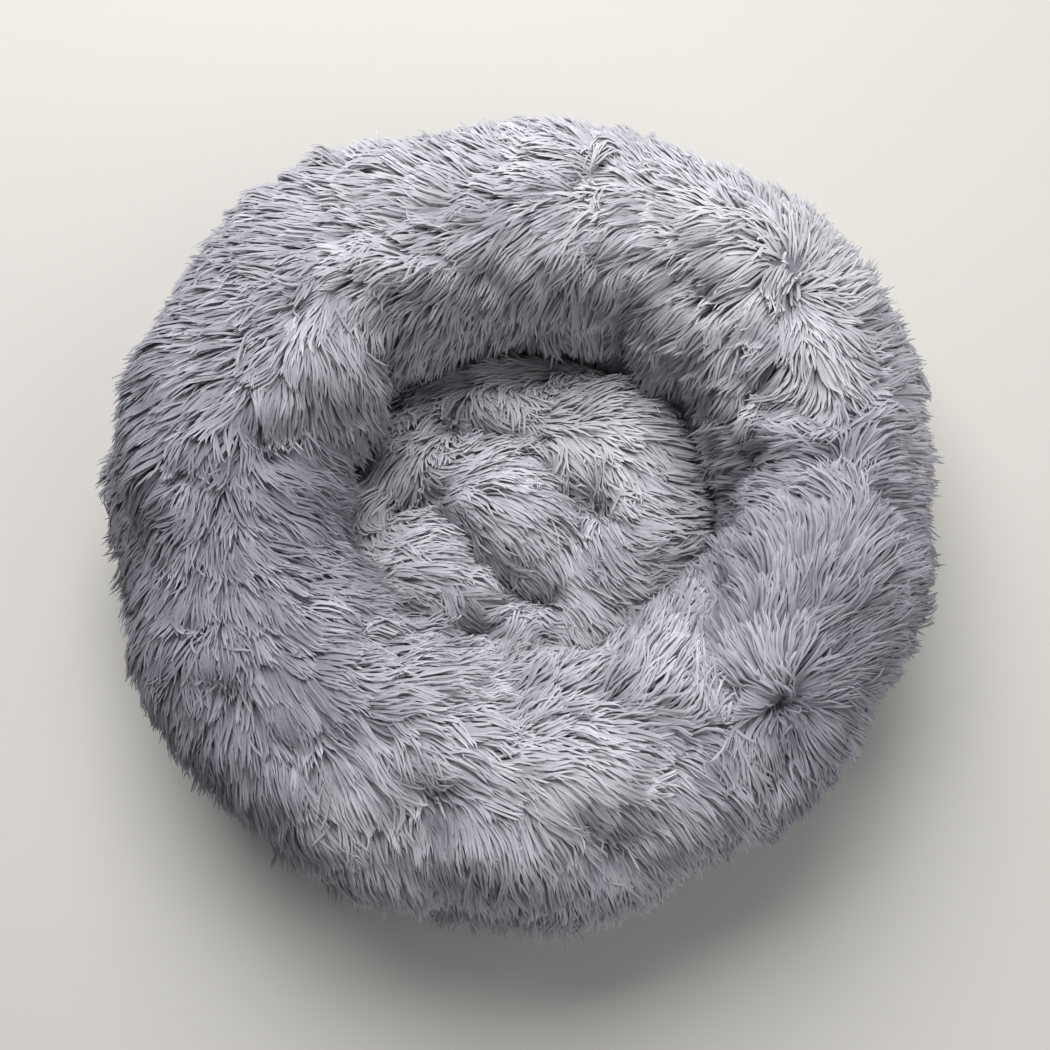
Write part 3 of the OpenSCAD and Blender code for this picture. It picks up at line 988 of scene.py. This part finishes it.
def pile_pieces(prefix, locks, order, rng, pile, nodes):
    """Meshes of locks, some thousands each in this order, as pieces that replace the nodes in turn."""
    lines, normals, tone, wide = locks
    width = pile.width * wide * rng.uniform(0.55, 1.15, len(lines)) * 1
    parts = np.array_split(order, math.ceil(len(order) / PIECE_LOCKS))
    for i, part in enumerate(parts):
        name = f"{prefix}_pile_{i + 1:02d}"
        mesh = lock_mesh(name, lines[part], normals[part], width[part], tone[part])
        piece = place(name, mesh, "root", bpy.data.materials["polyester_pile"])
        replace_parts(piece, nodes[i * len(nodes) // len(parts)])


class BED_OT_filling(bpy.types.Operator):
    """Make the two filled bags that lie in the plush, and the tape over the plush's side seams"""

    bl_idname = "bed.filling"
    bl_label = "Filled bags"

    def execute(self, context):
        depth = context.scene.bed_pile.depth + BACKING
        tape = woven_tape("seam_tape", context.scene.bed_colours, "XY")
        # How far in from the backing each layer lies, and the pad's layers' rims and floors
        bag_out, bag_in, filling = 0.0015, 0.0027, 0.0032
        loops = [core_loops(bolster_sheet(depth + gap)) for gap in (bag_out, bag_in, filling)]
        domes = [(depth + bag_out, 0.1468, FLOOR_Z + 0.001), (depth + bag_in, 0.1456, FLOOR_Z + 0.0022),
                 (depth + filling, 0.1450, FLOOR_Z + 0.0027)]
        cloth, fibre = nonwoven_cloth(), polyester_fibre()
        for part, build, layers in (("bolster", ring_mesh, loops), ("pad", dome_mesh, domes)):
            for name, node, layer, material, slot in (
                (f"{part}_bag_cloth", f"{part}_bag", layers[:2], cloth, "nonwoven_bag"),
                (f"{part}_fibre", f"{part}_filling", layers[2:], fibre, "fibre_filling"),
            ):
                piece = place(name, build(name, layer), "root", material)
                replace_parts(piece, node)
        sheet = bolster_sheet(depth)
        for side, turn in (("right", 0), ("left", 0.5)):
            name = f"panel_seam_{side}"
            mesh = sheet_mesh(name, sheet, (turn - SEAM_TURN, turn + SEAM_TURN), 0.0008)
            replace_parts(place(name, mesh, "root", tape), "panel_seams")
        cover("inner_seam_tape", tape)
        return {"FINISHED"}


class BED_OT_base(bpy.types.Operator):
    """Make the base cloth with its grip dots and binding, and the wall between the bags"""

    bl_idname = "bed.base"
    bl_label = "Base and wall"

    def execute(self, context):
        colours = context.scene.bed_colours
        low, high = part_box("base_cloth")
        radius = high.x
        side = np.linspace(-1, 1, 73)
        u, v = np.meshgrid(side, side, indexing="ij")
        # A square grid pressed into a disc
        x = u * np.sqrt(1 - v ** 2 / 2) * radius
        y = v * np.sqrt(1 - u ** 2 / 2) * radius
        ripple = 0.0002 * soft_noise(x * 2, y * 2, (4, 4, 14), 41)
        top = np.stack([x, y, high.z - 0.0001 + np.minimum(ripple, 0.0001)], axis=2)
        bottom = np.stack([x, y, low.z + np.maximum(ripple * 0.5, 0)], axis=2)
        mesh = shell_mesh("base_oxford", top, bottom)
        piece = place("base_oxford", mesh, "root", oxford_cloth(colours))
        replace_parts(piece, "base_cloth")
        low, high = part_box("divider_wall")
        turn = np.linspace(0, 360, 240, endpoint=False)[:, None]
        rise = np.linspace(0, 1, 13)[None, :]
        # Small waves round the wall, larger towards its free top
        wave = (0.0005 * np.sin(np.radians(turn * 17)) * (0.4 + 0.6 * rise)
                + 0.0003 * np.sin(np.radians(turn * 41)))
        height = low.z + (high.z - low.z) * rise
        outer, inner = high.x - 0.0004, high.x - 0.0011
        mesh = shell_mesh("wall_lining", around(outer + wave, turn, height),
                          around(inner + wave, turn, height), closed=True)
        piece = place("wall_lining", mesh, "root", lining_cloth(colours))
        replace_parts(piece, "divider_wall")
        cover("grip_dots", moulded_pvc(colours))
        cover("base_binding", woven_tape("binding_tape", colours, "XZ"))
        return {"FINISHED"}


class BED_OT_zip(bpy.types.Operator):
    """Make the zip: its coils, the hem above it and the finish of its tapes, stops, slider and pull"""

    bl_idname = "bed.zip"
    bl_label = "Zip"

    def execute(self, context):
        colours = context.scene.bed_colours
        nylon = nylon_monofilament(colours)
        metal = plated_zinc(colours)
        tape = woven_tape("zip_tape", colours, "XZ")
        low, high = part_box("zip_coil_lower")[0].z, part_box("zip_coil_upper")[1].z
        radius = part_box("zip_tape_upper")[1].y
        reach = ZIP_REACH - 1.5
        pitch, filament, overlap = 0.0014, 0.00031, 0.0003
        turns = round(math.radians(2 * reach) * radius / pitch)
        steps = np.arange(turns * 8 + 1) / 8
        degrees = ZIP_REAR - reach + 2 * reach * steps / turns
        # Each coil's loops reach over the middle, between the loops of the other
        half = ((high - low) / 2 + overlap) / 2 - filament
        centres = (("lower", low + half + filament, 0), ("upper", high - half - filament, 0.5))
        for side, centre, phase in centres:
            name = f"zip_coil_{side}_nylon"
            angle = 2 * math.pi * (steps + phase)
            path = around(radius + 0.0008 * np.cos(angle), degrees, centre + half * np.sin(angle))
            piece = place(name, tube_mesh(name, path, filament, 5), "root", nylon)
            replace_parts(piece, f"zip_coil_{side}")
        degrees = np.linspace(ZIP_REAR - ZIP_REACH - 1, ZIP_REAR + ZIP_REACH + 1, 140)
        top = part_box("zip_tape_upper")[1].z
        path = around(radius - 0.0030, degrees, top + 0.0012)
        backing = bpy.data.materials["knitted_backing"]
        place("zip_hem", tube_mesh("zip_hem", path, 0.0034, 12), "root", backing)
        for node in ("zip_tape_lower", "zip_tape_upper"):
            cover(node, tape)
        for node in ("zip_stops", "zip_slider", "zip_pull"):
            cover(node, metal)
        return {"FINISHED"}


class BED_OT_label(bpy.types.Operator):
    """Make the blank care label"""

    bl_idname = "bed.label"
    bl_label = "Care label"

    def execute(self, context):
        satin = satin_ribbon(context.scene.bed_colours)
        low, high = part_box("care_label")
        turn = np.linspace(LABEL_TURN - LABEL_REACH, LABEL_TURN + LABEL_REACH, 21)[:, None]
        rise = np.linspace(0, 1, 19)[None, :]
        sway = (turn - LABEL_TURN) / LABEL_REACH
        # The free end stands off a little, most at its corners
        curl = 0.0016 * rise ** 2 * (0.4 + 0.6 * sway ** 2) + 0.0004 * np.sin(3 * sway + 4 * rise)
        height = low.z + (high.z - low.z) * rise
        outer, inner = BASE_R + 0.0018, BASE_R + 0.0014
        mesh = shell_mesh("care_label_satin", around(outer + curl, turn, height),
                          around(inner + curl, turn, height))
        piece = place("care_label_satin", mesh, "root", satin)
        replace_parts(piece, "care_label")
        return {"FINISHED"}


def trimmed(lines):
    """Lift the pile over the zip and the label to a fringe, and tell which locks stay."""
    azimuth = np.degrees(np.arctan2(lines[:, 0, 1], lines[:, 0, 0]))
    # The far end gets more room, for the open slider and its pull
    over_zip = np.abs(azimuth - ZIP_REAR - 1.2) < ZIP_REACH + 2
    over_label = np.abs(azimuth - LABEL_TURN) < LABEL_REACH + 2
    fringe = np.where(over_zip, ZIP_FRINGE, np.where(over_label, LABEL_FRINGE, 0))
    start = fringe + FRINGE_DEPTH
    z = lines[..., 2]
    raised = fringe[:, None] + (start - fringe)[:, None] * np.clip(z / start[:, None], 0, 1)
    lines[..., 2] = np.where((fringe[:, None] > 0) & (z < start[:, None]), raised, z)
    return (fringe == 0) | (lines[:, 0, 2] > fringe + FRINGE_ROOT)


class BED_OT_bolster(bpy.types.Operator):
    """Make the bolster's plush: its backing and its pile"""

    bl_idname = "bed.bolster"
    bl_label = "Bolster plush"

    def execute(self, context):
        pile = context.scene.bed_pile
        sheet = bolster_sheet(pile.depth)
        backing = knitted_backing(context.scene.bed_colours)
        for half, span in (("rear", (0, 0.5)), ("front", (0.5, 1.0))):
            name = f"bolster_backing_{half}"
            piece = place(name, sheet_mesh(name, sheet, span, BACKING), "root", backing)
            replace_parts(piece, f"bolster_plush_{half}")
        rng = np.random.default_rng(5)
        count = pile.bolster_locks // 1
        locks = grow(sheet, bolster_comb(sheet), count, rng, pile)
        kept = trimmed(locks[0])
        locks = [values[kept] for values in locks]
        azimuth = np.arctan2(locks[0][:, 0, 1], locks[0][:, 0, 0]) % (2 * math.pi)
        polyester_pile(context.scene.bed_colours)
        nodes = ("bolster_plush_rear", "bolster_plush_front")
        pile_pieces("bolster", locks, np.argsort(azimuth), rng, pile, nodes)
        return {"FINISHED"}


class BED_OT_pad(bpy.types.Operator):
    """Make the pad's plush: its backing and its pile"""

    bl_idname = "bed.pad"
    bl_label = "Pad plush"

    def execute(self, context):
        pile = context.scene.bed_pile
        sheet = pad_sheet(pile.depth)
        rng = np.random.default_rng(8)
        # The corners of the square sheet grow nothing, so it starts with 4 / pi times the locks
        count = int(pile.pad_locks // 1 * 1.27)

        def inside(points):
            return np.hypot(points[:, 0], points[:, 1]) < SEAM_R - 0.004

        locks = grow(sheet, pad_comb(sheet), count, rng, pile, keep=inside)
        pile_pieces("pad", locks, np.argsort(locks[0][:, 0, 0]), rng, pile, ("centre_plush",))
        mesh = sheet_mesh("pad_backing", sheet, (0, 1), BACKING)
        piece = place("pad_backing", mesh, "root", bpy.data.materials["knitted_backing"])
        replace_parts(piece, "centre_plush")
        return {"FINISHED"}


# Lights: name, place and power in watts; they are square and point at one spot
LIGHTS = (("window", (-0.3, 1.35, 2.05), 118), ("fill", (1.4, -1.0, 1.75), 25))
LIGHT_SIZE = 2.0
LIGHT_AIM = Vector((0, 0, 0.08))
# Camera: lens in millimetres, the spot it looks at, its distance and its tilt over the floor
LENS = 56.57
CAMERA_AIM = Vector((0.004, -0.009, 0.092))
CAMERA_AWAY = 1.19
CAMERA_TILT = 74


def aim_at(thing, spot):
    """Turn a light or a camera towards a spot."""
    thing.rotation_euler = (spot - thing.location).to_track_quat("-Z", "Y").to_euler()


class BED_OT_stage(bpy.types.Operator):
    """Make the floor, the lights and the camera"""

    bl_idname = "bed.stage"
    bl_label = "Stage"

    def execute(self, context):
        scene = context.scene
        scene.view_settings.view_transform = "Standard"
        bpy.ops.mesh.primitive_plane_add(size=8, location=(0, 0, -0.0005))
        floor = bpy.context.object
        floor.name = "floor"
        material, _, shader = new_material("floor_paint", Roughness=0.7)
        shader.inputs["Base Color"].default_value = hex_color("#adaaa5")
        floor.data.materials.append(material)
        for name, spot, power in LIGHTS:
            data = bpy.data.lights.new(name, "AREA")
            data.size = LIGHT_SIZE
            data.energy = power
            light = bpy.data.objects.new(name, data)
            light.location = spot
            aim_at(light, LIGHT_AIM)
            scene.collection.objects.link(light)
        world = bpy.data.worlds.new("studio")
        world.use_nodes = True
        sky = world.node_tree.nodes["Background"]
        sky.inputs["Color"].default_value = hex_color("#dfe3ec")
        sky.inputs["Strength"].default_value = 0.2
        scene.world = world
        data = bpy.data.cameras.new("camera")
        data.lens = LENS
        camera = bpy.data.objects.new("camera", data)
        tilt = math.radians(CAMERA_TILT)
        camera.location = CAMERA_AIM + CAMERA_AWAY * Vector((0, -math.cos(tilt), math.sin(tilt)))
        aim_at(camera, CAMERA_AIM)
        scene.collection.objects.link(camera)
        scene.camera = camera
        return {"FINISHED"}


class BED_PT_panel(bpy.types.Panel):
    """The bed's parts in the sidebar"""

    bl_idname = "BED_PT_panel"
    bl_label = "Pet Bed"
    bl_space_type = "VIEW_3D"
    bl_region_type = "UI"
    bl_category = "Pet Bed"

    def draw(self, context):
        for operator in OPERATORS:
            self.layout.operator(operator.bl_idname)


OPERATORS = (BED_OT_stage, BED_OT_bolster, BED_OT_pad, BED_OT_filling, BED_OT_base, BED_OT_zip, BED_OT_label)
CLASSES = (BED_PG_colours, BED_PG_pile, *OPERATORS, BED_PT_panel)


def register():
    for cls in CLASSES:
        bpy.utils.register_class(cls)
    bpy.types.Scene.bed_colours = PointerProperty(type=BED_PG_colours)
    bpy.types.Scene.bed_pile = PointerProperty(type=BED_PG_pile)


def unregister():
    del bpy.types.Scene.bed_pile
    del bpy.types.Scene.bed_colours
    for cls in reversed(CLASSES):
        bpy.utils.unregister_class(cls)


def main():
    """Build the bed and its stage."""
    register()
    bpy.ops.bed.stage()
    bpy.ops.bed.bolster()
    bpy.ops.bed.pad()
    bpy.ops.bed.filling()
    bpy.ops.bed.base()
    bpy.ops.bed.zip()
    bpy.ops.bed.label()


if __name__ == "__main__":
    main()
